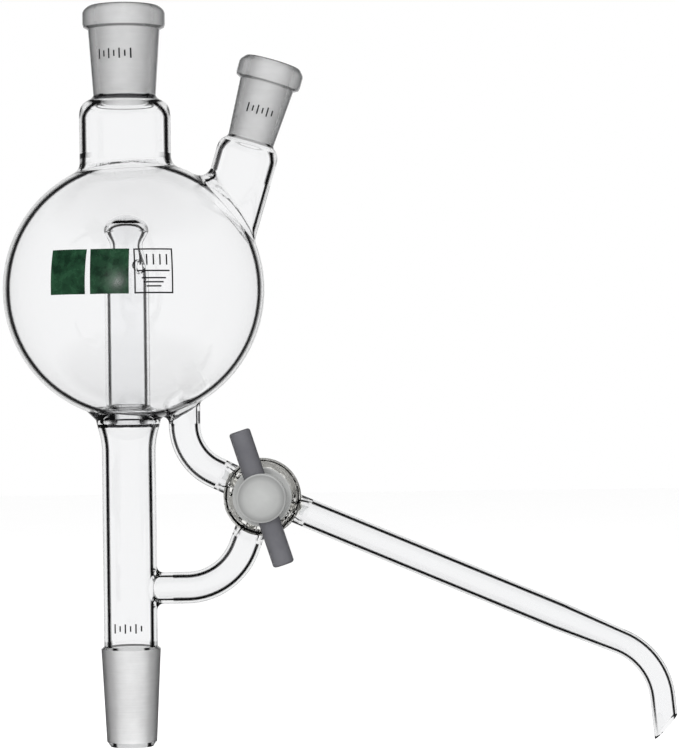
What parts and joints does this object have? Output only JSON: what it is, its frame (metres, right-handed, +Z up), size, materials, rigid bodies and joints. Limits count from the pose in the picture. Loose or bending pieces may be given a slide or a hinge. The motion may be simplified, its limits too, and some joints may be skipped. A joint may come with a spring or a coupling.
{
  "type": "distilling receiver head",
  "caption": "Glass distilling receiver head with a ground cone below, a bulb with an inner vapour tube, two ground sockets, and a three-way stopcock with a drip tube.",
  "frame": {"origin": "centre of the small end of the bottom ground cone, on the stem's axis", "axes": "+Z up the stem, +X towards the drip tube's tip, -Y towards the front, where the stopcock's handle is"},
  "size_m": [0.2168, 0.0847, 0.2398],
  "materials": {
    "clear_glass": "clear fire-polished borosilicate",
    "ground_glass": "frosted ground joint",
    "green_enamel": "fired green enamel",
    "black_enamel": "fired black enamel",
    "ptfe": "turned PTFE, waxy",
    "ptfe_washer": "turned PTFE, waxy",
    "grey_plastic": "moulded grey plastic, satin",
    "rubber": "fluoro rubber ring"
  },
  "bodies": {
    "glass": {"bottom_cone": "ground_glass", "stem_tube": "clear_glass", "ring_seal": "clear_glass", "bulb": "clear_glass", "vapour_tube": "clear_glass", "top_neck": "clear_glass", "top_socket": "ground_glass", "side_neck": "clear_glass", "side_socket": "ground_glass", "drain_tube": "clear_glass", "return_tube": "clear_glass", "delivery_tube": "clear_glass", "stopcock_barrel": "clear_glass", "green_panel_left": "green_enamel", "green_panel_right": "green_enamel", "capacity_frame": "black_enamel", "top_joint_mark": "black_enamel", "side_joint_mark": "black_enamel", "stem_joint_mark": "black_enamel"},
    "key": {"key_plug": "ptfe", "handle_rod": "grey_plastic"},
    "washers": {"friction_washer": "ptfe_washer", "tension_ring": "rubber"},
    "nut": {"retaining_nut": "grey_plastic"}
  },
  "joints": [
    {"name": "key_turn", "type": "hinge", "parent": "glass", "child": "key", "pos_m": [0.0435, 0, 0.08082], "axis": [0, 1, 0], "continuous": true},
    {"name": "washer_slide", "type": "slide", "parent": "key", "child": "washers", "axis": [0, 1, 0], "range_m": [0, 0.0045]},
    {"name": "nut_turn", "type": "hinge", "parent": "washers", "child": "nut", "pos_m": [0.0435, 0.0255, 0.08082], "axis": [0, 1, 0], "range_deg": [0, 1081]}
  ],
  "couplings": [
    {"joint": "nut_turn", "follows": "washer_slide", "rad_per_m": 4188.8}
  ]
}
